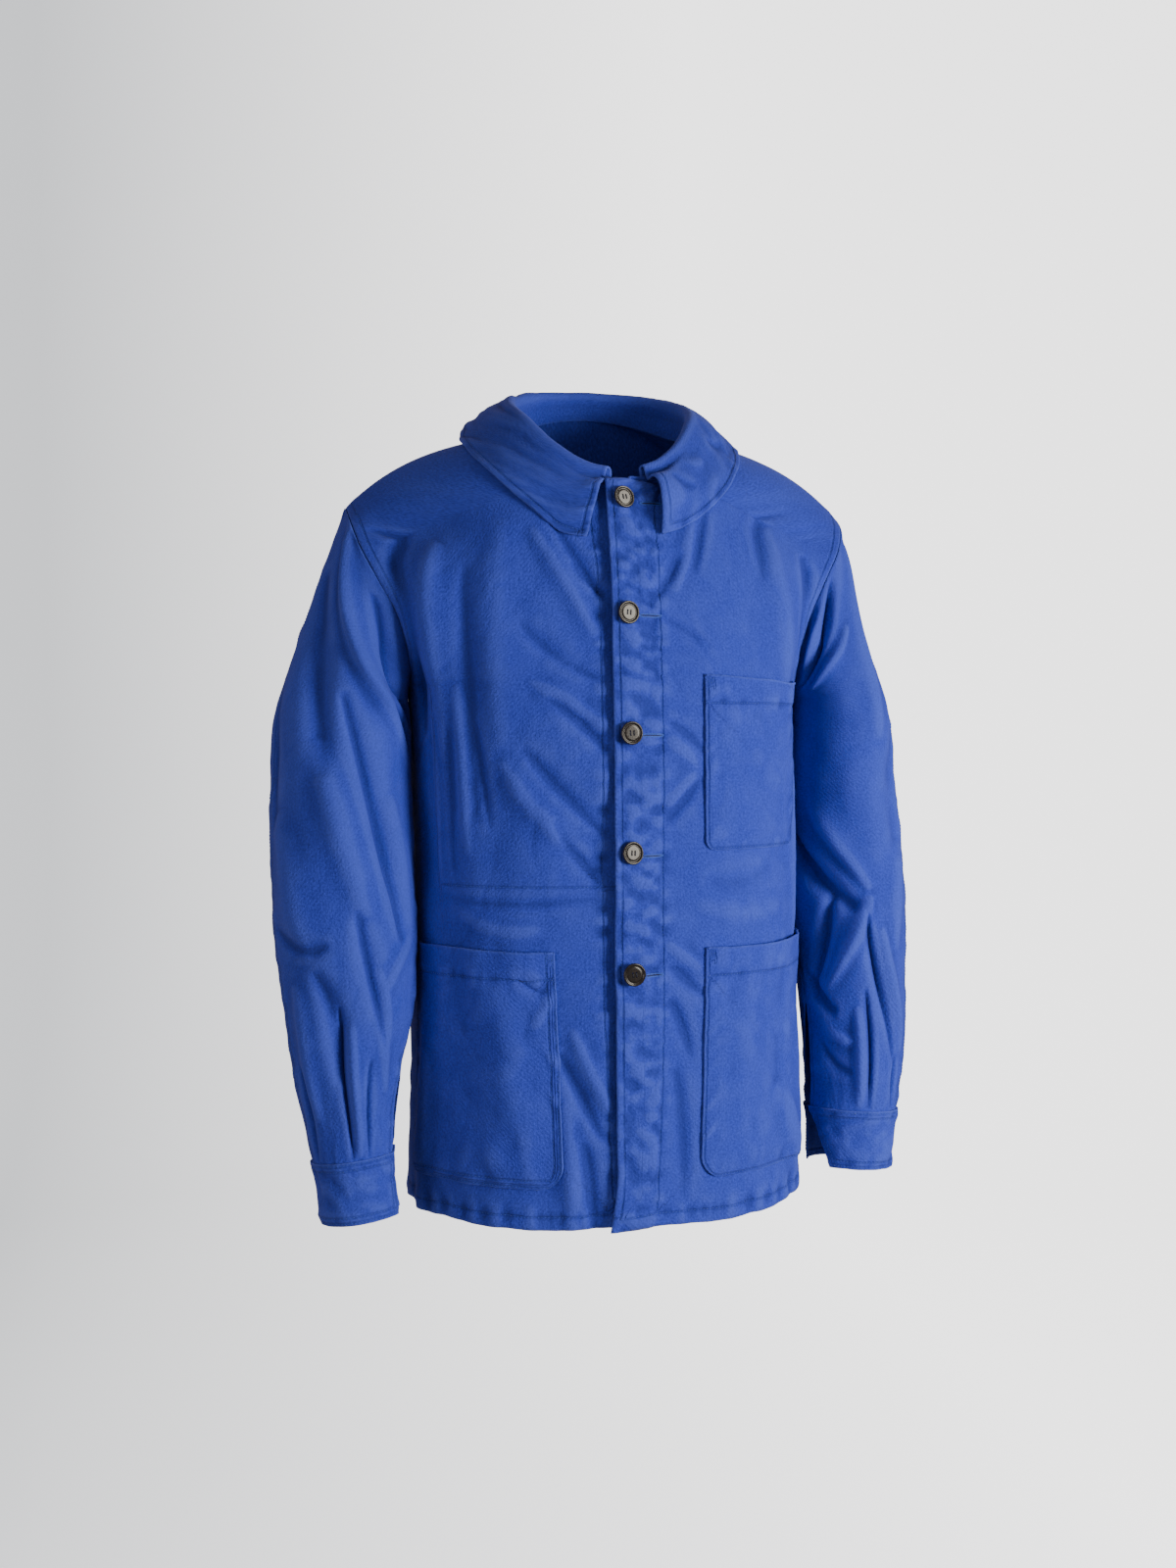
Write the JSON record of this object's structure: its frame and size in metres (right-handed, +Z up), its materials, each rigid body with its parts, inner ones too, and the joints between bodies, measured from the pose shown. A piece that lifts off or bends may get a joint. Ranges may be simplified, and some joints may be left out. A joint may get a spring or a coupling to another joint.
{
  "type": "chore jacket",
  "caption": "Buttoned hip-length cotton work jacket with a flat round-backed collar, patch pockets and two-part sleeves with open cuffs.",
  "frame": {"origin": "centre plane of the jacket at the level of the neck, just over the shoulders that carry it", "axes": "+Z up, -Y out of the jacket's front, +X towards the wearer's left"},
  "size_m": [0.6297, 0.2987, 0.8011],
  "materials": {
    "blue_cotton_moleskin": "matte brushed cotton with a fine weave",
    "dark_horn_plastic": "polished"
  },
  "bodies": {
    "root": {"back": "blue_cotton_moleskin", "front_left": "blue_cotton_moleskin", "front_right": "blue_cotton_moleskin", "collar": "blue_cotton_moleskin", "sleeve_left_upper": "blue_cotton_moleskin", "sleeve_left_under": "blue_cotton_moleskin", "sleeve_right_upper": "blue_cotton_moleskin", "sleeve_right_under": "blue_cotton_moleskin", "cuff_left": "blue_cotton_moleskin", "cuff_right": "blue_cotton_moleskin", "pocket_chest": "blue_cotton_moleskin", "pocket_lower_left": "blue_cotton_moleskin", "pocket_lower_right": "blue_cotton_moleskin", "button_1": "dark_horn_plastic", "button_2": "dark_horn_plastic", "button_3": "dark_horn_plastic", "button_4": "dark_horn_plastic", "button_5": "dark_horn_plastic"}
  },
  "joints": []
}
